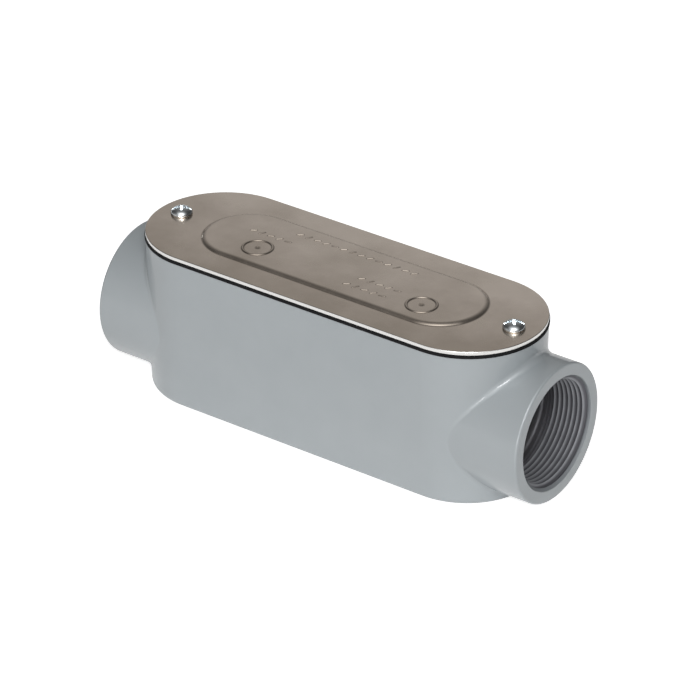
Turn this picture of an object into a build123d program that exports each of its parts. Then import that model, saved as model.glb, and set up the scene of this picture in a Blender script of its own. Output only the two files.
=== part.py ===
"""Conduit body, type C, for 1-1/2 in trade size conduit, in millimetres.

A cast casing with a threaded hub at each end, closed by a gasket and a sheet metal cover that two
screws hold. The origin is at the middle of the casing's bottom, +X runs along the hubs' common
axis and +Z points up to the cover.
"""

import math
import os

from build123d import *

# Threaded sockets, at the thread's major diameter, and the bushings behind them
socket_diameter = 48.1
socket_depth = 20.4
socket_mouth_chamfer = 0.4
bushing_bore_diameter = 40.4
bushing_thickness = 4.0
bushing_lip_chamfer = 1.2

# Hubs, one at each end
hub_wall = 5.6
hub_underside_height = 0.35
hub_projection = 11.4
hub_rim_chamfer = 0.9
hub_root_rounding = 2.5

# Casing
rim_length = 187.0
rim_beside_hub = 2.75
rim_above_hub = 8.15
casing_draft = 1.0
casing_wall = 3.2
casing_floor = 3.2
bottom_rounding = 2.4
floor_chamfer = 2.5

# Cover and gasket
cover_thickness = 1.8
panel_side_margin = 12.3
panel_end_margin = 26.0
panel_height = 1.1
panel_slope_width = 2.0
gasket_thickness = 1.2
gasket_overhang = 0.3

# Cover screws, number 10, and the bosses that they turn into
screw_end_distance = 10.4
screw_diameter = 4.83
screw_length = 12.7
screw_tip_chamfer = 0.6
screw_head_diameter = 9.2
screw_head_side_height = 1.2
screw_head_height = 3.1
screw_head_shoulder_width = 0.9
screw_head_shoulder_height = 1.2
screw_head_flat_diameter = 3.0
screw_slot_width = 1.25
screw_slot_depth = 1.5
screw_slot_angle = 36.0
boss_diameter = 10.4
boss_bottom_thickness = 3.0
boss_hole_spare_depth = 1.6

# Clearances, on the radius
screw_thread_clearance = 0.06
gasket_hole_clearance = 0.2
cover_hole_clearance = 0.4

# Places and sizes worked out from those above
hub_diameter = socket_diameter + 2 * hub_wall
hub_axis_height = hub_diameter / 2 + hub_underside_height
rim_width = hub_diameter + 2 * rim_beside_hub
rim_height = hub_axis_height + hub_diameter / 2 + rim_above_hub
casing_end_x = rim_length / 2
end_arc_x = (rim_length - rim_width) / 2
hub_face_x = casing_end_x + hub_projection
socket_end_x = hub_face_x - socket_depth
bushing_face_x = socket_end_x - bushing_thickness
chamber_length = rim_length - 2 * casing_wall
chamber_width = rim_width - 2 * casing_wall
cover_bottom_z = rim_height + gasket_thickness
cover_top_z = cover_bottom_z + cover_thickness
panel_length = rim_length - 2 * panel_end_margin
panel_width = rim_width - 2 * panel_side_margin
panel_taper = math.degrees(math.atan(panel_slope_width / panel_height))
screw_x = casing_end_x - screw_end_distance
boss_hole_depth = screw_length - cover_thickness - gasket_thickness + boss_hole_spare_depth
boss_depth = boss_hole_depth + boss_bottom_thickness
ends = {"left": -1, "right": 1}


def boss_outlines(mode):
    """Both screw bosses from above, each joined to the end wall behind it."""
    boss_run = casing_end_x - casing_wall / 2 - screw_x
    for side in ends.values():
        with Locations((side * screw_x, 0)):
            Circle(boss_diameter / 2, mode=mode)
        with Locations((side * (screw_x + boss_run / 2), 0)):
            Rectangle(boss_run, boss_diameter, mode=mode)


def screw_hole_outlines(clearance, mode):
    """The holes for the cover screws, one at each end."""
    with Locations((-screw_x, 0), (screw_x, 0)):
        Circle(screw_diameter / 2 + clearance, mode=mode)


# The casting's outside: a drafted block with round ends, and a hub running out of each
with BuildPart() as casting:
    with BuildSketch(Plane.XY.offset(rim_height)):
        SlotOverall(rim_length, rim_width)
    extrude(amount=-rim_height, taper=casing_draft)
    fillet(casting.faces().sort_by(Axis.Z)[0].edges(), bottom_rounding)
    for side in ends.values():
        with BuildSketch(Plane.YZ.offset(side * end_arc_x)):
            with Locations((0, hub_axis_height)):
                Circle(hub_diameter / 2)
        extrude(amount=side * (hub_face_x - end_arc_x))
    hub_roots = casting.edges().filter_by(GeomType.BSPLINE)
    fillet(hub_roots, hub_root_rounding)
    hub_rims = casting.edges().filter_by(GeomType.CIRCLE).sort_by(Axis.X)
    chamfer([hub_rims[0], hub_rims[-1]], hub_rim_chamfer)

# The wiring chamber, as the space that it leaves in the casting
with BuildPart() as chamber:
    with BuildSketch(Plane.XY.offset(rim_height)):
        SlotOverall(chamber_length, chamber_width)
    extrude(amount=casing_floor - rim_height, taper=casing_draft)
    chamfer(chamber.faces().sort_by(Axis.Z)[0].edges(), floor_chamfer)
    # The metal round each bushing stays, and fills the corners below it
    for side in ends.values():
        with BuildSketch(Plane.YZ.offset(side * bushing_face_x)):
            with Locations((0, hub_axis_height)):
                Circle(hub_diameter / 2)
                Rectangle(hub_diameter, hub_axis_height, align=(Align.CENTER, Align.MAX))
        extrude(amount=side * (casing_end_x - bushing_face_x), mode=Mode.SUBTRACT)
    with BuildSketch(Plane.XY.offset(rim_height)):
        boss_outlines(Mode.ADD)
    extrude(amount=-boss_depth, mode=Mode.SUBTRACT)

# One hub's inside, from the socket's mouth to the far lip of the bushing
with BuildPart() as passage:
    with BuildSketch(Plane.XZ):
        with BuildLine():
            mouth_radius = socket_diameter / 2 + socket_mouth_chamfer
            lip_radius = bushing_bore_diameter / 2 + bushing_lip_chamfer
            Polyline(
                (bushing_face_x, 0),
                (hub_face_x, 0),
                (hub_face_x, mouth_radius),
                (hub_face_x - socket_mouth_chamfer, socket_diameter / 2),
                (socket_end_x, socket_diameter / 2),
                (socket_end_x, lip_radius),
                (socket_end_x - bushing_lip_chamfer, bushing_bore_diameter / 2),
                (bushing_face_x + bushing_lip_chamfer, bushing_bore_diameter / 2),
                (bushing_face_x, lip_radius),
                close=True,
            )
        make_face()
    revolve(axis=Axis.X)

# Casing: the casting with its chamber, passages and tapped holes
with BuildPart() as body:
    add(casting.part)
    add(chamber.part, mode=Mode.SUBTRACT)
    with Locations((0, 0, hub_axis_height)):
        add(passage.part, mode=Mode.SUBTRACT)
        add(passage.part, rotation=(0, 0, 180), mode=Mode.SUBTRACT)
    with BuildSketch(Plane.XY.offset(rim_height)):
        screw_hole_outlines(screw_thread_clearance, Mode.ADD)
    extrude(amount=-boss_hole_depth, mode=Mode.SUBTRACT)

# Gasket: a die-cut ring on the rim, with a land over each boss
with BuildPart() as gasket:
    with BuildSketch(Plane.XY.offset(rim_height)):
        SlotOverall(rim_length + 2 * gasket_overhang, rim_width + 2 * gasket_overhang)
        SlotOverall(chamber_length, chamber_width, mode=Mode.SUBTRACT)
        boss_outlines(Mode.ADD)
        screw_hole_outlines(gasket_hole_clearance, Mode.SUBTRACT)
    extrude(amount=gasket_thickness)

# Cover: a pressed sheet of even thickness with a raised panel
with BuildPart() as cover:
    with BuildSketch(Plane.XY.offset(cover_bottom_z)):
        SlotOverall(rim_length, rim_width)
    extrude(amount=cover_thickness)
    with BuildSketch(Plane.XY.offset(cover_top_z)):
        SlotOverall(panel_length, panel_width)
    extrude(amount=panel_height, taper=panel_taper)
    with BuildSketch(Plane.XY.offset(cover_bottom_z)):
        SlotOverall(panel_length, panel_width)
    extrude(amount=panel_height, taper=panel_taper, mode=Mode.SUBTRACT)
    with BuildSketch(Plane.XY.offset(cover_bottom_z)):
        screw_hole_outlines(cover_hole_clearance, Mode.ADD)
    extrude(amount=cover_thickness, mode=Mode.SUBTRACT)

subparts = {"body": body.part, "gasket": gasket.part, "cover": cover.part}

# Cover screws: round heads with a straight slot, seated on the cover
for end, side in ends.items():
    seat = Plane(origin=(side * screw_x, 0, cover_top_z), x_dir=(1, 0, 0), z_dir=(0, -1, 0))
    with BuildPart() as cover_screw:
        with BuildSketch(seat):
            with BuildLine():
                Polyline(
                    (0, screw_head_height),
                    (0, -screw_length),
                    (screw_diameter / 2 - screw_tip_chamfer, -screw_length),
                    (screw_diameter / 2, screw_tip_chamfer - screw_length),
                    (screw_diameter / 2, 0),
                    (screw_head_diameter / 2, 0),
                    (screw_head_diameter / 2, screw_head_side_height),
                    (
                        screw_head_diameter / 2 - screw_head_shoulder_width,
                        screw_head_side_height + screw_head_shoulder_height,
                    ),
                    (screw_head_flat_diameter / 2, screw_head_height),
                    close=True,
                )
            make_face()
        revolve(axis=Axis(seat.origin, (0, 0, 1)))
        with BuildSketch(Plane.XY.offset(cover_top_z + screw_head_height)):
            with Locations((side * screw_x, 0)):
                Rectangle(2 * screw_head_diameter, screw_slot_width, rotation=screw_slot_angle)
        extrude(amount=-screw_slot_depth, mode=Mode.SUBTRACT)
    subparts["cover_screw_" + end] = cover_screw.part

os.makedirs("parts", exist_ok=True)
for name, solid in subparts.items():
    solid.label = name
    export_step(solid, f"parts/{name}.step")
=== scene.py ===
import math

import bmesh
import bpy
from mathutils import Matrix, Vector


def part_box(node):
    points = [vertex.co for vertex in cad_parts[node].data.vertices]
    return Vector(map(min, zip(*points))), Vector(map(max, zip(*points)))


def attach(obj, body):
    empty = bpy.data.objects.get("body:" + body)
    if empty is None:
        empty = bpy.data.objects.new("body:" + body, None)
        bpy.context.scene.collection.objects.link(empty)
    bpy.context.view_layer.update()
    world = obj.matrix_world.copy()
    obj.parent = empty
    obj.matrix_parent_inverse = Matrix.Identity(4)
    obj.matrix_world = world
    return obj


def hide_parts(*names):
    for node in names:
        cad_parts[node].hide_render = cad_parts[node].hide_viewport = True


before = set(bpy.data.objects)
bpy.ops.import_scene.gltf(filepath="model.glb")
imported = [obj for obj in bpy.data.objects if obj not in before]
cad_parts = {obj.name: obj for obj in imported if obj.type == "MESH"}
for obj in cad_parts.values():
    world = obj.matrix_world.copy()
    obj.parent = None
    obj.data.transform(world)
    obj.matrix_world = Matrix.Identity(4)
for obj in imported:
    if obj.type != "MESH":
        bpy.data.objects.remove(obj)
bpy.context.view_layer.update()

# The object's sizes are in millimetres, and the camera's and the studio's in metres.
MM = 0.001

# The one body that every piece rides on
BODY = "root"

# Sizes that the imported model's boxes don't give
HUB_AXIS_HEIGHT = 30.0
HUB_RADIUS = 29.65
HUB_RIM_SIZE = 0.9
SOCKET_RADIUS = 24.05
SOCKET_DEPTH = 20.4
MOUTH_CHAMFER = 0.4
BUSHING_RADIUS = 20.2
BUSHING_LIP_SIZE = 1.2

# Tapered pipe thread, 11.5 to the inch. Its taper is that of the radius.
THREAD_PITCH = 2.209
THREAD_CREST_RADIUS = 22.28
THREAD_CREST_HALF_WIDTH = 0.1
THREAD_TAPER = 1 / 32
THREAD_FLANK_SLOPE = math.tan(math.radians(30))
THREAD_ROOT_GAP = 0.02
THREAD_EMBEDDING = 0.1
THREAD_START_DEPTH = 0.06
THREAD_LENGTH = 19.3
THREAD_RUNOUT = 2.8
MOUTH_CONE_RADIUS = 24.47

# Cover's sheet and its raised panel. A narrow flat strip beside each bend keeps the bend's
# smooth shading off the flats.
PANEL_SIDE_MARGIN = 12.3
PANEL_END_MARGIN = 26.0
PANEL_RISE = 1.1
PANEL_SLOPE_MIDDLE = 1.0
PANEL_TILT = math.radians(42)
INNER_BEND_RADIUS = 1.2
FLAT_STRIP = 0.06
SHEET_EDGE_ROUNDING = 0.3
SCREW_HOLE_RADIUS = 2.8

# Plain raised marks on the panel. The rings are given by their centres, and the rows of dashes
# as (x of the first dash, y, count), all from the panel's middle. Angles are in degrees.
MARK_HEIGHT = 0.45
MARK_STEEPNESS = 0.53
MARK_SINK = 0.01
RINGS = ((-37.9, -7.4), (44.0, -7.6))
RING_RADIUS = 6.2
RING_HALF_WIDTH = 0.85
PIP_RADIUS = 1.6
PIP_STRETCH = 0.01
DASH_HALF_LENGTH = 1.8
DASH_RADIUS = 0.6
DASH_ANGLES = (36, 56, 24, 44, 12)
DASH_SPACING = 4.4
DASH_ROWS = ((-30.5, 12.0, 14), (-48.5, 4.0, 5), (12.0, -3.9, 5), (9.5, -10.9, 5))

# Cover screws. A slot is (length, width, depth).
SCREW_SHANK_RADIUS = 2.415
SCREW_LENGTH = 12.7
SCREW_TIP_SIZE = 0.6
SCREW_FOOT_WIDTH = 0.3
SCREW_FOOT_HEIGHT = 0.25
SCREW_HEAD_SIDE = 0.5
SCREW_SLOT_ANGLE = 36.0
SCREW_SLOT = (12.0, 1.25, 1.5)
SCREW_CROSS = (4.6, 1.1, 1.9)
SLOT_FLOOR_ROUNDING = 0.2

# How finely round shapes are divided
ARC_STEPS = 64
BEND_STEPS = 5
HUB_STEPS = 128
MARK_STEPS = 8
MARK_END_STEPS = 16
SCREW_HEAD_STEPS = 20
SCREW_TURN_STEPS = 96
SLOT_FLOOR_STEPS = 3

# Edges that bend by more than these angles, in degrees, look sharp.
SHARP_ANGLE = 40
MARK_SHARP_ANGLE = 80
THREAD_SHARP_ANGLE = 25
SCREW_SHARP_ANGLE = 30

# Camera, as worked out from the photograph. Its aim passes the middle of the cover's flat top
# by these shares of its distance.
FRAME_PIXELS = 700
FOCAL_PIXELS = 3977.3
CAMERA_AZIMUTH = 36.174
CAMERA_ELEVATION = 28.259
CAMERA_DISTANCE = 1.6084
AIM_RIGHT = 0.001637
AIM_UP = -0.020347
SENSOR_WIDTH = 36.0
NEAREST_SEEN = 0.05
FURTHEST_SEEN = 50.0

# Studio
FLOOR_SIZE = 12.0
FLOOR_ALBEDO = 0.86
FLOOR_ROUGHNESS = 0.8
FLOOR_GLOW = 0.75
FLOOR_GLOW_IN_REFLECTIONS = 0.27
WHITE_IN_REFLECTIONS = 0.05
WHITE = (1, 1, 1, 1)

# Soft lights of the sky, as (azimuth, elevation, sharpness, level)
SKY_LOBES = (
    (216, 28, 8, 0.32),
    (216, 60, 10, 0.05),
    (39, 45, 12, 1.8),
    (20, 65, 10, 0.72),
    (20, 40, 12, 0.4),
    (-40, 5, 12, 0.34),
    (-10, 5, 12, 0.26),
    (15, 5, 12, 0.12),
)

# A direction counts as turned away from a soft light below this share.
LEAST_FACING = 0.0001

# Lamps, as (name, azimuth, elevation, distance, width, height, power)
SOFTBOXES = (
    ("key", 39, 38, 2.0, 0.35, 1.0, 12),
    ("low", 18, 10, 2.0, 0.5, 0.35, 2.8),
    ("foot", 16, 5, 1.2, 0.5, 0.2, 1.1),
)


def node_box(node):
    """A CAD node's lowest and highest corners, in mm."""
    low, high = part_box(node)
    return low / MM, high / MM


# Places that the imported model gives
cover_top = node_box("cover")[1].z - PANEL_RISE
hub_face = node_box("body")[1].x
screw_names = ("cover_screw_left", "cover_screw_right")
screw_places = [(node_box(name)[0].x + node_box(name)[1].x) / 2 for name in screw_names]


def heading(azimuth, elevation):
    """The direction towards a place seen at that azimuth, in degrees from -Y towards +X."""
    horizontal = math.cos(math.radians(elevation))
    return Vector((
        math.sin(math.radians(azimuth)) * horizontal,
        -math.cos(math.radians(azimuth)) * horizontal,
        math.sin(math.radians(elevation)),
    ))


def add_object(name, data):
    """A new object in the scene, made of a mesh, a lamp or a camera."""
    made = bpy.data.objects.new(name, data)
    bpy.context.scene.collection.objects.link(made)
    return made


def face_along(made, direction):
    """Turns a lamp or a camera to look in a direction."""
    made.rotation_mode = "QUATERNION"
    made.rotation_quaternion = direction.to_track_quat("-Z", "Y")


def add_camera():
    """The photograph's view. The distance is from the middle of the cover's flat top."""
    back = heading(CAMERA_AZIMUTH, CAMERA_ELEVATION)
    right = (-back).cross(Vector((0, 0, 1))).normalized()
    up = right.cross(-back)
    data = bpy.data.cameras.new("camera")
    data.sensor_width = SENSOR_WIDTH
    data.lens = FOCAL_PIXELS * SENSOR_WIDTH / FRAME_PIXELS
    data.clip_start = NEAREST_SEEN
    data.clip_end = FURTHEST_SEEN
    camera = add_object("camera", data)
    camera.location = back * CAMERA_DISTANCE + Vector((0, 0, cover_top * MM))
    face_along(camera, -back + AIM_RIGHT * right + AIM_UP * up)
    bpy.context.scene.camera = camera


# Node trees

# Texture noise, and the part of its range that patches use. Scales are per metre.
NOISE_DETAIL = 3.0
NOISE_ROUGHNESS = 0.55
NOISE_SPAN = (0.3, 0.7)

# A Mix node's sockets for colours, by number, because its other sockets share their names
MIX_FACTOR = "0"
MIX_FIRST_COLOR = "6"
MIX_SECOND_COLOR = "7"
MIX_RESULT_COLOR = 2


class Nodes:
    """A short way to build a material's or the world's node tree."""

    def __init__(self, tree):
        self.tree = tree

    def add(self, kind, settings=None, **inputs):
        node = self.tree.nodes.new(kind)
        for key, value in (settings or {}).items():
            setattr(node, key, value)
        self.fill(node, **inputs)
        return node

    def fill(self, node, **inputs):
        """Sets or links sockets by name, with an underscore for each space."""
        for key, value in inputs.items():
            self.set(node, key.replace("_", " "), value)

    def set(self, node, key, value):
        """Sets or links one socket, by its name or its number."""
        socket = node.inputs[int(key)] if key.isdigit() else node.inputs[key]
        if isinstance(value, bpy.types.NodeSocket):
            self.tree.links.new(value, socket)
        else:
            socket.default_value = value


def new_material(name):
    """A material with an empty Principled shader, as (material, nodes, shader)."""
    material = bpy.data.materials.new(name)
    material.use_nodes = True
    return material, Nodes(material.node_tree), material.node_tree.nodes["Principled BSDF"]


def object_position(nodes):
    return nodes.add("ShaderNodeTexCoord").outputs["Object"]


def stretched(nodes, position, scale):
    return nodes.add("ShaderNodeMapping", Vector=position, Scale=scale).outputs["Vector"]


def calculate(nodes, operation, *values):
    node = nodes.add("ShaderNodeMath", {"operation": operation})
    for index, value in enumerate(values):
        nodes.set(node, str(index), value)
    return node.outputs["Value"]


def remap(nodes, value, low, high, to_low, to_high):
    return nodes.add(
        "ShaderNodeMapRange",
        Value=value,
        From_Min=low,
        From_Max=high,
        To_Min=to_low,
        To_Max=to_high,
    ).outputs["Result"]


def mix_numbers(nodes, share, first, second):
    return remap(nodes, share, 0.0, 1.0, first, second)


def mix_colors(nodes, share, first, second):
    node = nodes.add("ShaderNodeMix", {"data_type": "RGBA"})
    nodes.set(node, MIX_FACTOR, share)
    nodes.set(node, MIX_FIRST_COLOR, first)
    nodes.set(node, MIX_SECOND_COLOR, second)
    return node.outputs[MIX_RESULT_COLOR]


def noise(nodes, position, scale, detail):
    return nodes.add(
        "ShaderNodeTexNoise",
        Vector=position,
        Scale=scale,
        Detail=detail,
        Roughness=NOISE_ROUGHNESS,
    ).outputs["Fac"]


def patches(nodes, position, scale, low=0.0, high=1.0, detail=NOISE_DETAIL, span=NOISE_SPAN):
    """Soft patches that run from one value to another."""
    return remap(nodes, noise(nodes, position, scale, detail), *span, low, high)


def relief(nodes, position, look, under=None):
    """A noise bump of (scale, detail, depth in mm, strength), over an earlier one if given."""
    scale, detail, depth, strength = look
    height = noise(nodes, position, scale, detail)
    node = nodes.add("ShaderNodeBump", Height=height, Distance=depth * MM, Strength=strength)
    if under:
        nodes.set(node, "Normal", under)
    return node.outputs["Normal"]


def place_in_hub(nodes, position):
    """A point's depth below the nearer hub's face, and its distance from the hubs' axis."""
    parts = nodes.add("ShaderNodeSeparateXYZ", Vector=position).outputs
    from_middle = calculate(nodes, "ABSOLUTE", parts["X"])
    depth = calculate(nodes, "SUBTRACT", hub_face * MM, from_middle)
    above = calculate(nodes, "SUBTRACT", parts["Z"], HUB_AXIS_HEIGHT * MM)
    across_squared = calculate(nodes, "MULTIPLY", parts["Y"], parts["Y"])
    above_squared = calculate(nodes, "MULTIPLY", above, above)
    squared = calculate(nodes, "ADD", across_squared, above_squared)
    return depth, calculate(nodes, "SQRT", squared)


# Casing's paint, and the bare metal in its bores, darkened as painted shade

PAINT_DARK = (0.375, 0.408, 0.426, 1)
PAINT_LIGHT = (0.395, 0.428, 0.445, 1)
PAINT_BLOTCH_SCALE = 28.0
PAINT_SHEEN_SCALE = 90.0
PAINT_ROUGHNESS = (0.5, 0.6)
PAINT_METALLIC = 0.2
PAINT_SPECULAR = 1.0
PAINT_COAT_ROUGHNESS = 0.07
PAINT_WAVES = (60.0, 2.0, 0.25, 0.08)
PAINT_PEEL = (420.0, 2.0, 0.1, 0.12)
PAINT_GRAIN = (2200.0, 3.0, 0.03, 0.12)
# The bores' bare metal tone, also darkened as painted shade
BORE_METAL_WITH_SHADE = (0.2, 0.2, 0.215, 1)
BORE_METALLIC = 0.7
BORE_LENGTH = 25.0
BORE_MARGIN = 0.3


def paint_material():
    """Grey enamel on a casting, with a faint orange peel, and bare metal in the bores, darkened
    as painted shade.
    """
    material, nodes, shader = new_material("casing_paint")
    position = object_position(nodes)
    depth, radius = place_in_hub(nodes, position)
    past_mouth = calculate(nodes, "GREATER_THAN", depth, MOUTH_CHAMFER * MM)
    in_bore = calculate(nodes, "LESS_THAN", radius, (SOCKET_RADIUS + BORE_MARGIN) * MM)
    in_hub = calculate(nodes, "LESS_THAN", depth, BORE_LENGTH * MM)
    # Where the bores' bare metal is, whose darker tone is also painted shade
    bare = calculate(nodes, "MULTIPLY", past_mouth, calculate(nodes, "MULTIPLY", in_bore, in_hub))
    blotches = patches(nodes, position, PAINT_BLOTCH_SCALE)
    paint_tone = mix_colors(nodes, blotches, PAINT_DARK, PAINT_LIGHT)
    waves = relief(nodes, position, PAINT_WAVES)
    peel = relief(nodes, position, PAINT_PEEL, waves)
    nodes.fill(
        shader,
        Base_Color=mix_colors(nodes, bare, paint_tone, BORE_METAL_WITH_SHADE),
        Metallic=mix_numbers(nodes, bare, PAINT_METALLIC, BORE_METALLIC),
        Roughness=patches(nodes, position, PAINT_SHEEN_SCALE, *PAINT_ROUGHNESS),
        Specular_IOR_Level=PAINT_SPECULAR,
        Coat_Weight=mix_numbers(nodes, bare, 1.0, 0.0),
        Coat_Roughness=PAINT_COAT_ROUGHNESS,
        Normal=relief(nodes, position, PAINT_GRAIN, peel),
    )
    return material


# Thread's metal. Painted shade darkens it from a little below the crests into the roots, and the
# cone at the mouth is painted, in a tone darkened as painted shade, down to a depth where the
# paint fades out.

THREAD_DARK = (0.35, 0.36, 0.385, 1)
THREAD_LIGHT = (0.44, 0.45, 0.48, 1)
THREAD_CLOUD_SCALE = 160.0
THREAD_ROUGHNESS = (0.48, 0.6)
THREAD_METALLIC = 0.35
# Painted shade in the thread's roots, from a little below the crests
THREAD_ROOT_SHADE = (0.13, 0.13, 0.144, 1)
ROOT_SHADE_START = 0.1
ROOT_SHADE_END = 1.0
# The cone's paint, darkened as painted shade
CONE_PAINT_WITH_SHADE = (0.22, 0.235, 0.25, 1)
CONE_PAINT_FADE_START = 1.2
CONE_PAINT_FADE_END = 1.6
TURNING_STRETCH = (1.0, 0.08, 0.08)
TURNING_LINES = (6000.0, 2.0, 0.02, 0.2)


def thread_material():
    """Machined aluminium with painted shade in its roots, and paint on the cone at the mouth,
    darkened as painted shade.
    """
    material, nodes, shader = new_material("thread_metal")
    position = object_position(nodes)
    depth, radius = place_in_hub(nodes, position)
    taper = calculate(nodes, "MULTIPLY", depth, THREAD_TAPER)
    untapered = calculate(nodes, "ADD", radius, taper)
    # Painted shade, deepening from a little below the crests into the roots
    root_shade_start = (THREAD_CREST_RADIUS + ROOT_SHADE_START) * MM
    root_shade_end = (THREAD_CREST_RADIUS + ROOT_SHADE_END) * MM
    root_shade_share = remap(nodes, untapered, root_shade_start, root_shade_end, 0.0, 1.0)
    clouds = patches(nodes, position, THREAD_CLOUD_SCALE)
    metal = mix_colors(nodes, clouds, THREAD_DARK, THREAD_LIGHT)
    metal = mix_colors(nodes, root_shade_share, metal, THREAD_ROOT_SHADE)
    fade_start = CONE_PAINT_FADE_START * MM
    fade_end = CONE_PAINT_FADE_END * MM
    # Where the cone is painted, in a tone darkened as painted shade
    painted = remap(nodes, depth, fade_start, fade_end, 1.0, 0.0)
    nodes.fill(
        shader,
        Base_Color=mix_colors(nodes, painted, metal, CONE_PAINT_WITH_SHADE),
        Metallic=mix_numbers(nodes, painted, THREAD_METALLIC, 0.0),
        Roughness=mix_numbers(nodes, clouds, *THREAD_ROUGHNESS),
        Normal=relief(nodes, stretched(nodes, position, TURNING_STRETCH), TURNING_LINES),
    )
    return material


# Cover's metal. Its warm oxidised tint carries a painted reflection that goes from dark in front
# to pale behind, and the line between them drifts back and forth.

# Warm oxidised tints, darkened in front and lightened behind as painted reflection
OXIDE_WITH_DARK_REFLECTION = (0.66, 0.565, 0.475, 1)
OXIDE_WITH_PALE_REFLECTION = (0.98, 0.86, 0.75, 1)
DARK_REFLECTION_Y = -32.0
PALE_REFLECTION_Y = 30.0
REFLECTION_DRIFT = 22.0
REFLECTION_DRIFT_SCALE = 30.0
REFLECTION_DRIFT_DETAIL = 4.0
SHEARED_METAL = (0.96, 0.95, 0.93, 1)
SHEARED_EDGE_DEPTH = 0.08
SATIN_SCALE = 160.0
SATIN_ROUGHNESS = (0.2, 0.28)
SHEET_DENTS = (35.0, 1.0, 0.5, 0.2)
ROLLING_STRETCH = (0.12, 1.0, 1.0)
ROLLING_LINES = (2600.0, 2.0, 0.02, 0.15)


def cover_material():
    """Rolled sheet metal, satin, with a warm mottled oxidised tint under a painted reflection,
    dark in front and pale behind, and bright sheared edges.
    """
    material, nodes, shader = new_material("cover_metal")
    position = object_position(nodes)
    parts = nodes.add("ShaderNodeSeparateXYZ", Vector=position).outputs
    # Painted reflection, dark in front and pale behind, along a line that drifts
    reach = REFLECTION_DRIFT * MM
    reflection_line_drift = patches(nodes, position, REFLECTION_DRIFT_SCALE, -reach, reach, REFLECTION_DRIFT_DETAIL)
    across = calculate(nodes, "ADD", parts["Y"], reflection_line_drift)
    pale_reflection_share = remap(nodes, across, DARK_REFLECTION_Y * MM, PALE_REFLECTION_Y * MM, 0.0, 1.0)
    oxide_and_reflection = mix_colors(nodes, pale_reflection_share, OXIDE_WITH_DARK_REFLECTION, OXIDE_WITH_PALE_REFLECTION)
    sheared = calculate(nodes, "LESS_THAN", parts["Z"], (cover_top - SHEARED_EDGE_DEPTH) * MM)
    dents = relief(nodes, position, SHEET_DENTS)
    rolled = stretched(nodes, position, ROLLING_STRETCH)
    nodes.fill(
        shader,
        Base_Color=mix_colors(nodes, sheared, oxide_and_reflection, SHEARED_METAL),
        Metallic=1.0,
        Roughness=patches(nodes, position, SATIN_SCALE, *SATIN_ROUGHNESS),
        Normal=relief(nodes, rolled, ROLLING_LINES, dents),
    )
    return material


# Gasket's rubber

RUBBER_DARK = (0.005, 0.005, 0.006, 1)
RUBBER_DUSTY = (0.012, 0.012, 0.013, 1)
DUST_SCALE = 300.0
DUST_DETAIL = 5.0
DUST_SPAN = (0.4, 0.8)
RUBBER_ROUGHNESS = 0.8
RUBBER_SPECULAR = 0.2
RUBBER_GRAIN = (1800.0, 3.0, 0.05, 0.3)


def rubber_material():
    """Black sheet rubber, dull and slightly dusty."""
    material, nodes, shader = new_material("gasket_rubber")
    position = object_position(nodes)
    dust = patches(nodes, position, DUST_SCALE, detail=DUST_DETAIL, span=DUST_SPAN)
    nodes.fill(
        shader,
        Base_Color=mix_colors(nodes, dust, RUBBER_DARK, RUBBER_DUSTY),
        Roughness=RUBBER_ROUGHNESS,
        Specular_IOR_Level=RUBBER_SPECULAR,
        Normal=relief(nodes, position, RUBBER_GRAIN),
    )
    return material


# Screws' zinc plate

ZINC_DARK = (0.76, 0.8, 0.82, 1)
ZINC_LIGHT = (0.88, 0.91, 0.93, 1)
ZINC_CLOUD_SCALE = 500.0
ZINC_ROUGHNESS = (0.18, 0.26)
ZINC_GRAIN = (1500.0, 3.0, 0.03, 0.15)


def zinc_material():
    """Bright zinc plate."""
    material, nodes, shader = new_material("screw_zinc")
    position = object_position(nodes)
    clouds = patches(nodes, position, ZINC_CLOUD_SCALE)
    nodes.fill(
        shader,
        Base_Color=mix_colors(nodes, clouds, ZINC_DARK, ZINC_LIGHT),
        Metallic=1.0,
        Roughness=mix_numbers(nodes, clouds, *ZINC_ROUGHNESS),
        Normal=relief(nodes, position, ZINC_GRAIN),
    )
    return material


def dress(piece, material):
    piece.data.materials.clear()
    piece.data.materials.append(material)


# Mesh pieces


class Surface:
    """Points in mm and the faces between them, to be made into one piece."""

    def __init__(self):
        self.mesh = bmesh.new()

    def loop(self, points):
        return [self.mesh.verts.new(point) for point in points]

    def bridge(self, first, second):
        """Quads between two closed loops of as many points."""
        for index in range(len(first)):
            before = index - 1
            self.mesh.faces.new((first[before], first[index], second[index], second[before]))

    def chain(self, loops):
        for first, second in zip(loops, loops[1:]):
            self.bridge(first, second)

    def cap(self, loop):
        self.mesh.faces.new(loop)

    def fill(self, loops):
        """A flat area bounded by several loops, the holes among them."""
        edges = []
        for loop in loops:
            for pair in zip(loop, loop[1:] + loop[:1]):
                edges.append(self.mesh.edges.get(pair) or self.mesh.edges.new(pair))
        bmesh.ops.triangle_fill(self.mesh, use_beauty=True, edges=edges)

    def piece(self, name, material, slot, sharp_angle=SHARP_ANGLE):
        """The finished object, which rides on the casing."""
        bmesh.ops.recalc_face_normals(self.mesh, faces=self.mesh.faces)
        bmesh.ops.scale(self.mesh, vec=(MM, MM, MM), verts=self.mesh.verts)
        mesh = bpy.data.meshes.new(name)
        self.mesh.to_mesh(mesh)
        self.mesh.free()
        mesh.shade_smooth()
        mesh.set_sharp_from_angle(angle=math.radians(sharp_angle))
        made = add_object(name, mesh)
        dress(made, material)
        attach(made, BODY)
        return made


def circle(radius, z, centre=(0, 0), steps=ARC_STEPS):
    turn = 2 * math.pi / steps
    return [
        (centre[0] + radius * math.cos(turn * i), centre[1] + radius * math.sin(turn * i), z)
        for i in range(steps)
    ]


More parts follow.
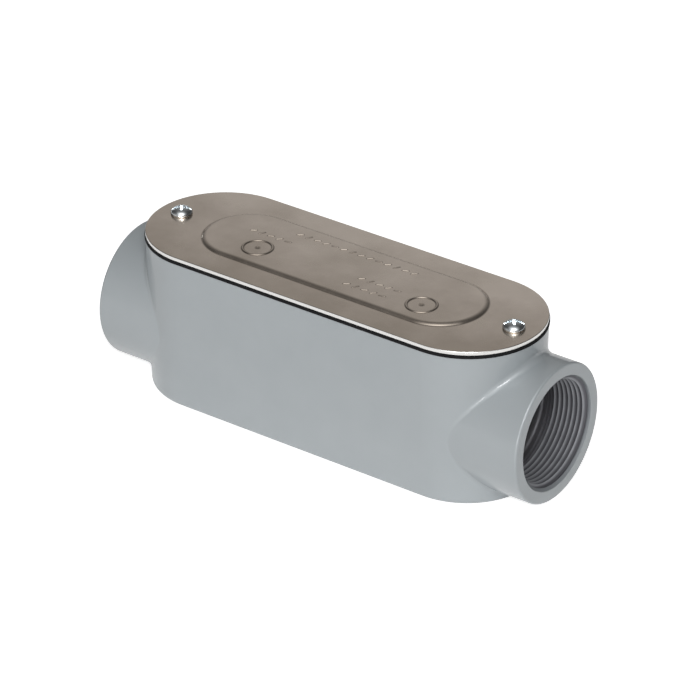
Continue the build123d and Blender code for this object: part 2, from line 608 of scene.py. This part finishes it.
def stadium(half_length, radius, z, steps=ARC_STEPS):
    """A straight-sided outline with round ends, anticlockwise."""
    points = []
    for side in (1, -1):
        middle = side * (half_length - radius)
        for step in range(steps + 1):
            angle = math.pi * (step / steps - side / 2)
            points.append((middle + radius * math.cos(angle), radius * math.sin(angle), z))
    return points


def arc(middle, radius, start, end, steps):
    """Points along an arc, in a section's own plane, from one angle to another in degrees."""
    angles = [math.radians(start + (end - start) * step / steps) for step in range(steps + 1)]
    return [
        (middle[0] + radius * math.cos(a), middle[1] + radius * math.sin(a)) for a in angles
    ]


def slope_section(foot_radius, top_radius):
    """The pressed slope's section, as (distance inward from the panel's outline, height)."""
    bends = foot_radius + top_radius
    straight_rise = PANEL_RISE - bends * (1 - math.cos(PANEL_TILT))
    width = bends * math.sin(PANEL_TILT) + straight_rise / math.tan(PANEL_TILT)
    start = PANEL_SLOPE_MIDDLE - width / 2
    degrees = math.degrees(PANEL_TILT)
    foot = arc((start, foot_radius), foot_radius, -90, degrees - 90, BEND_STEPS)
    top_middle = (start + width, PANEL_RISE - top_radius)
    return foot + arc(top_middle, top_radius, 90 + degrees, 90, BEND_STEPS)


def add_cover(material):
    """The pressed cover: a sheet with a rounded edge, two screw holes and a raised panel."""
    low, high = node_box("cover")
    panel_half_length = high.x - PANEL_END_MARGIN
    panel_radius = high.y - PANEL_SIDE_MARGIN
    surface = Surface()

    def edge_loop(inset, z):
        return surface.loop(stadium(high.x - inset, high.y - inset, z))

    def panel_loop(inset, z):
        return surface.loop(stadium(panel_half_length - inset, panel_radius - inset, z))

    rounding = SHEET_EDGE_ROUNDING
    lower = arc((rounding, low.z + rounding), rounding, 270, 180, BEND_STEPS)
    upper = arc((rounding, cover_top - rounding), rounding, 180, 90, BEND_STEPS)
    flat_start = rounding + FLAT_STRIP
    rim = [(flat_start, low.z)] + lower + upper + [(flat_start, cover_top)]
    rim_loops = [edge_loop(inset, z) for inset, z in rim]
    surface.chain(rim_loops)

    outer_bend_radius = INNER_BEND_RADIUS + cover_top - low.z
    faces = (
        (cover_top, INNER_BEND_RADIUS, outer_bend_radius, rim_loops[-1]),
        (low.z, outer_bend_radius, INNER_BEND_RADIUS, rim_loops[0]),
    )
    hole_loops = []
    for base_z, foot_radius, top_radius, rim_loop in faces:
        section = slope_section(foot_radius, top_radius)
        section.insert(0, (section[0][0] - FLAT_STRIP, 0))
        section.append((section[-1][0] + FLAT_STRIP, PANEL_RISE))
        loops = [panel_loop(inset, base_z + z) for inset, z in section]
        surface.chain(loops)
        surface.cap(loops[-1])
        holes = [surface.loop(circle(SCREW_HOLE_RADIUS, base_z, (x, 0))) for x in screw_places]
        surface.fill([rim_loop, loops[0]] + holes)
        hole_loops.append(holes)
    for upper_hole, lower_hole in zip(*hole_loops):
        surface.bridge(upper_hole, lower_hole)
    made = surface.piece("cover_sheet", material, "cover_metal")
    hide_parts("cover")


def mark_height(share, half_width, z):
    """The height of a mark, at a share of the way from its foot to its crest."""
    crest = min(MARK_HEIGHT, MARK_STEEPNESS * half_width)
    return z - MARK_SINK + crest * (1 - math.cos(math.pi * share)) / 2


def add_ring_mark(surface, centre, z):
    loops = []
    for step in range(2 * MARK_STEPS + 1):
        across = step / MARK_STEPS - 1
        radius = RING_RADIUS + RING_HALF_WIDTH * across
        height = mark_height(1 - abs(across), RING_HALF_WIDTH, z)
        loops.append(surface.loop(circle(radius, height, centre)))
    surface.chain(loops)
    surface.bridge(loops[-1], loops[0])


def add_round_mark(surface, centre, half_length, radius, z, angle=0):
    """A dash with round ends, or a pip where it is hardly longer than it is wide."""
    place = Matrix.Translation((*centre, 0)) @ Matrix.Rotation(math.radians(angle), 4, "Z")
    loops = []
    for step in range(MARK_STEPS):
        share = step / MARK_STEPS
        inset = radius * share
        height = mark_height(share, radius, z)
        outline = stadium(half_length - inset, radius - inset, height, MARK_END_STEPS)
        loops.append(surface.loop([place @ Vector(point) for point in outline]))
    surface.chain(loops)
    surface.cap(loops[-1])
    surface.cap(loops[0])


def add_marks(material):
    """Two rings with a pip in each, and rows of tumbled dashes, on the cover's panel."""
    z = node_box("cover")[1].z
    surface = Surface()
    for centre in RINGS:
        add_ring_mark(surface, centre, z)
        add_round_mark(surface, centre, PIP_RADIUS + PIP_STRETCH, PIP_RADIUS, z)
    for start, y, count in DASH_ROWS:
        for index in range(count):
            centre = (start + DASH_SPACING * index, y)
            angle = DASH_ANGLES[index % len(DASH_ANGLES)]
            add_round_mark(surface, centre, DASH_HALF_LENGTH, DASH_RADIUS, z, angle)
    surface.piece("cover_marks", material, "cover_metal", MARK_SHARP_ANGLE)


def hub_point(side, depth, radius, turn):
    """A point in a hub, at a depth below its face and a radius from its axis."""
    angle = 2 * math.pi * turn
    return (
        side * (hub_face - depth),
        side * radius * math.sin(angle),
        HUB_AXIS_HEIGHT + radius * math.cos(angle),
    )


def add_thread(name, side, material):
    """The ridge of a right-handed pipe thread, from the socket's mouth to its runout."""
    surface = Surface()
    half_pitch = THREAD_PITCH / 2 - THREAD_ROOT_GAP
    flank_height = (half_pitch - THREAD_CREST_HALF_WIDTH) / THREAD_FLANK_SLOPE
    base_radius = SOCKET_RADIUS + THREAD_EMBEDDING
    sections = []
    for step in range(int(THREAD_LENGTH / THREAD_PITCH * HUB_STEPS) + 1):
        turn = step / HUB_STEPS
        middle = THREAD_PITCH * turn
        crest = THREAD_CREST_RADIUS - THREAD_TAPER * middle
        faded = max(0.0, (middle - THREAD_LENGTH + THREAD_RUNOUT) / THREAD_RUNOUT)
        crest += (base_radius - crest) * faded ** 2
        root = min(crest + flank_height, base_radius)
        outline = (
            (-half_pitch, base_radius),
            (-half_pitch, root),
            (-THREAD_CREST_HALF_WIDTH, crest),
            (THREAD_CREST_HALF_WIDTH, crest),
            (half_pitch, root),
            (half_pitch, base_radius),
        )
        points = []
        for offset, radius in outline:
            depth = max(middle + offset, THREAD_START_DEPTH)
            cone = min(MOUTH_CONE_RADIUS - depth, base_radius)
            points.append(hub_point(side, depth, max(radius, cone), turn))
        sections.append(surface.loop(points))
    surface.chain(sections)
    surface.cap(sections[0])
    surface.cap(sections[-1])
    surface.piece(name, material, "casing_paint", THREAD_SHARP_ANGLE)


def add_rounded_rim(name, side, depth, radius, size, outward, material):
    """A ring that rounds off a chamfer: outward is 1 on a hub's outside and -1 in its bore."""
    surface = Surface()
    middle = (depth + size, radius - outward * size)
    turns = [step / HUB_STEPS for step in range(HUB_STEPS)]
    loops = []
    for inward, reach in arc((0, 0), size, 180, 90, BEND_STEPS):
        rim = (middle[0] + inward, middle[1] + outward * reach)
        loops.append(surface.loop([hub_point(side, *rim, turn) for turn in turns]))
    surface.chain(loops)
    surface.bridge(loops[-1], loops[0])
    surface.piece(name, material, "casing_paint")


def add_screw(name, x, material):
    """A pan head screw with a straight slot and a short cross in it."""
    low, high = node_box(name)
    head_radius = (high.x - low.x) / 2
    dome_height = high.z - cover_top - SCREW_HEAD_SIDE
    tip = cover_top - SCREW_LENGTH
    section = [
        (SCREW_SHANK_RADIUS - SCREW_TIP_SIZE, tip),
        (SCREW_SHANK_RADIUS, tip + SCREW_TIP_SIZE),
        (SCREW_SHANK_RADIUS, cover_top),
        (head_radius - SCREW_FOOT_WIDTH, cover_top),
        (head_radius, cover_top + SCREW_FOOT_HEIGHT),
    ]
    # The dome's last point is on the axis, where a cap closes it instead.
    for across, rise in arc((0, 0), 1, 0, 90, SCREW_HEAD_STEPS)[:-1]:
        section.append((head_radius * across, cover_top + SCREW_HEAD_SIDE + dome_height * rise))
    surface = Surface()
    loops = [surface.loop(circle(radius, z, (x, 0), SCREW_TURN_STEPS)) for radius, z in section]
    surface.chain(loops)
    surface.cap(loops[0])
    surface.cap(loops[-1])
    screw = surface.piece(name + "_detail", material, "screw_zinc", SCREW_SHARP_ANGLE)
    cut_slot(screw, (x, 0, high.z), SCREW_SLOT, SCREW_SLOT_ANGLE)
    cut_slot(screw, (x, 0, high.z), SCREW_CROSS, SCREW_SLOT_ANGLE + 90)
    screw.data.set_sharp_from_angle(angle=math.radians(SCREW_SHARP_ANGLE))
    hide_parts(name)


def cut_slot(piece, top, slot, angle):
    """Cuts a slot of (length, width, depth) into a piece, down from its top."""
    length, width, depth = slot
    shape = bmesh.new()
    bmesh.ops.create_cube(shape, size=1)
    bmesh.ops.scale(shape, vec=(length, width, 2 * depth), verts=shape.verts)
    bmesh.ops.bevel(
        shape,
        geom=[edge for edge in shape.edges if all(vert.co.z < 0 for vert in edge.verts)],
        offset=SLOT_FLOOR_ROUNDING,
        segments=SLOT_FLOOR_STEPS,
        affect="EDGES",
    )
    turn = Matrix.Rotation(math.radians(angle), 3, "Z")
    bmesh.ops.rotate(shape, cent=(0, 0, 0), matrix=turn, verts=shape.verts)
    bmesh.ops.translate(shape, vec=top, verts=shape.verts)
    bmesh.ops.scale(shape, vec=(MM, MM, MM), verts=shape.verts)
    mesh = bpy.data.meshes.new("slot_cutter")
    shape.to_mesh(mesh)
    shape.free()
    cutter = add_object("slot_cutter", mesh)
    cut = piece.modifiers.new("slot", "BOOLEAN")
    cut.operation = "DIFFERENCE"
    cut.solver = "EXACT"
    cut.object = cutter
    evaluated = piece.evaluated_get(bpy.context.evaluated_depsgraph_get())
    finished = bpy.data.meshes.new_from_object(evaluated)
    piece.modifiers.clear()
    piece.data = finished
    bpy.data.objects.remove(cutter)


# Studio


def seen_share(nodes, directly, in_reflections):
    """One level for what the camera sees, and another for what metal or glass shows."""
    rays = nodes.add("ShaderNodeLightPath").outputs
    bent = calculate(nodes, "ADD", rays["Is Glossy Ray"], rays["Is Transmission Ray"])
    shown = calculate(nodes, "MULTIPLY", bent, in_reflections)
    seen = calculate(nodes, "MULTIPLY", rays["Is Camera Ray"], directly)
    return calculate(nodes, "ADD", seen, shown)


def sky_level(nodes):
    """The light of all the sky's soft areas together, by the direction it comes from."""
    direction = nodes.add("ShaderNodeTexCoord").outputs["Generated"]
    total = 0.0
    for azimuth, elevation, sharpness, level in SKY_LOBES:
        towards = nodes.add("ShaderNodeVectorMath", {"operation": "DOT_PRODUCT"})
        nodes.set(towards, "0", direction)
        nodes.set(towards, "1", heading(azimuth, elevation))
        facing = calculate(nodes, "MAXIMUM", towards.outputs["Value"], LEAST_FACING)
        spread = calculate(nodes, "POWER", facing, sharpness)
        total = calculate(nodes, "ADD", total, calculate(nodes, "MULTIPLY", spread, level))
    return total


def add_world():
    """The sky, and a white background that the camera sees and metal shows faintly."""
    world = bpy.data.worlds.new("studio")
    bpy.context.scene.world = world
    world.use_nodes = True
    world.node_tree.nodes.clear()
    nodes = Nodes(world.node_tree)
    sky = nodes.add("ShaderNodeBackground", Color=WHITE, Strength=sky_level(nodes))
    background = nodes.add("ShaderNodeBackground", Color=WHITE, Strength=1.0)
    mixed = nodes.add("ShaderNodeMixShader")
    nodes.set(mixed, "0", seen_share(nodes, 1.0, WHITE_IN_REFLECTIONS))
    nodes.set(mixed, "1", sky.outputs["Background"])
    nodes.set(mixed, "2", background.outputs["Background"])
    nodes.add("ShaderNodeOutputWorld", Surface=mixed.outputs["Shader"])


def add_floor():
    """A white floor that keeps the object's shadow."""
    mesh = bpy.data.meshes.new("floor")
    half = FLOOR_SIZE / 2
    corners = [(-half, -half, 0), (half, -half, 0), (half, half, 0), (-half, half, 0)]
    mesh.from_pydata(corners, [], [(0, 1, 2, 3)])
    floor = add_object("floor", mesh)
    material, nodes, shader = new_material("floor_white")
    nodes.fill(
        shader,
        Base_Color=(FLOOR_ALBEDO, FLOOR_ALBEDO, FLOOR_ALBEDO, 1),
        Roughness=FLOOR_ROUGHNESS,
        Specular_IOR_Level=0.0,
        Emission_Color=WHITE,
        Emission_Strength=seen_share(nodes, FLOOR_GLOW, FLOOR_GLOW_IN_REFLECTIONS),
    )
    dress(floor, material)


def add_softbox(name, azimuth, elevation, distance, width, height, power):
    """An area lamp that faces the object's middle."""
    back = heading(azimuth, elevation)
    data = bpy.data.lights.new(name, "AREA")
    data.shape = "RECTANGLE"
    data.size = width
    data.size_y = height
    data.energy = power
    lamp = add_object(name, data)
    lamp.location = back * distance + Vector((0, 0, cover_top * MM / 2))
    face_along(lamp, -back)


add_camera()
add_world()
add_floor()
for name, *setting in SOFTBOXES:
    add_softbox(name, *setting)

paint = paint_material()
thread_metal = thread_material()
cover_metal = cover_material()
zinc = zinc_material()

dress(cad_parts["body"], paint)
dress(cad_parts["gasket"], rubber_material())
add_cover(cover_metal)
add_marks(cover_metal)
for name, x in zip(screw_names, screw_places):
    add_screw(name, x, zinc)
for end, side in (("left", -1), ("right", 1)):
    add_thread("thread_" + end, side, thread_metal)
    add_rounded_rim("hub_rim_" + end, side, 0, HUB_RADIUS, HUB_RIM_SIZE, 1, paint)
    add_rounded_rim(
        "bushing_lip_" + end, side, SOCKET_DEPTH, BUSHING_RADIUS, BUSHING_LIP_SIZE, -1, paint
    )

bpy.context.scene.view_settings.view_transform = "Standard"
